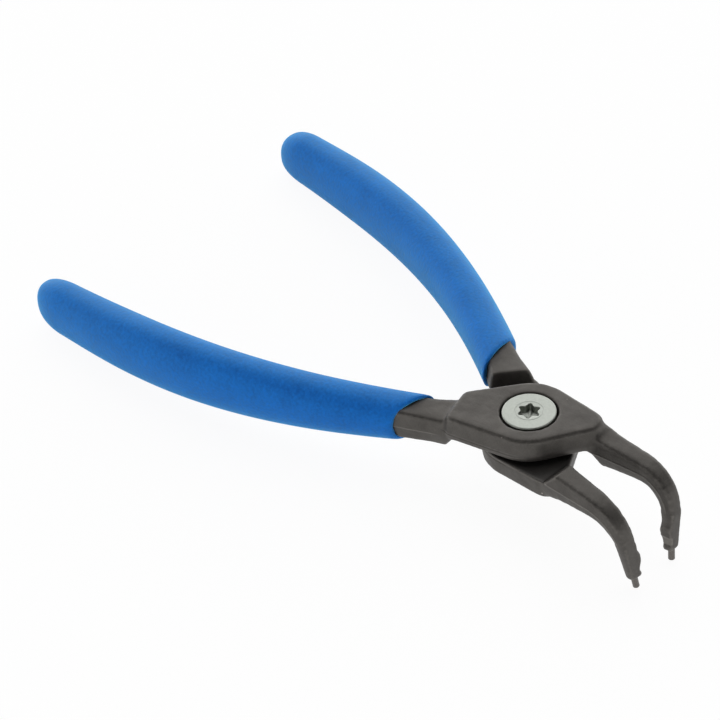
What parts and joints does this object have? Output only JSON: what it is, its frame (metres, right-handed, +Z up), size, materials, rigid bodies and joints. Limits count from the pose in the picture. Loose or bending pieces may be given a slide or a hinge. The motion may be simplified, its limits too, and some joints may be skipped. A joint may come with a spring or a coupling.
{
  "type": "circlip pliers",
  "caption": "Circlip pliers for internal retaining rings: forged levers lapped on a pivot screw, jaws bent down to pressed-in tip pins, handles dipped in soft plastic.",
  "frame": {"origin": "middle of the pliers' box, on the bench that they lie on", "axes": "+X from the handles to the jaws, +Y to the lower half's handle, +Z up from the bench"},
  "size_m": [0.1348, 0.0756, 0.0205],
  "materials": {
    "forged_steel": "dark phosphated forging, satin",
    "plated_steel": "bright zinc plate",
    "pin_steel": "dark hardened steel",
    "soft_plastic": "matte blue dip coating"
  },
  "bodies": {
    "lower_lever": {"lower_half": "forged_steel", "pivot_screw": "plated_steel", "lower_tip_pin": "pin_steel", "lower_grip": "soft_plastic"},
    "upper_lever": {"upper_half": "forged_steel", "upper_tip_pin": "pin_steel", "upper_grip": "soft_plastic"}
  },
  "joints": [
    {"name": "pivot", "type": "hinge", "parent": "lower_lever", "child": "upper_lever", "pos_m": [0.0344, 0, 0.01448], "axis": [-0.0926, 0, 0.9957], "range_deg": [-14, 16]}
  ]
}
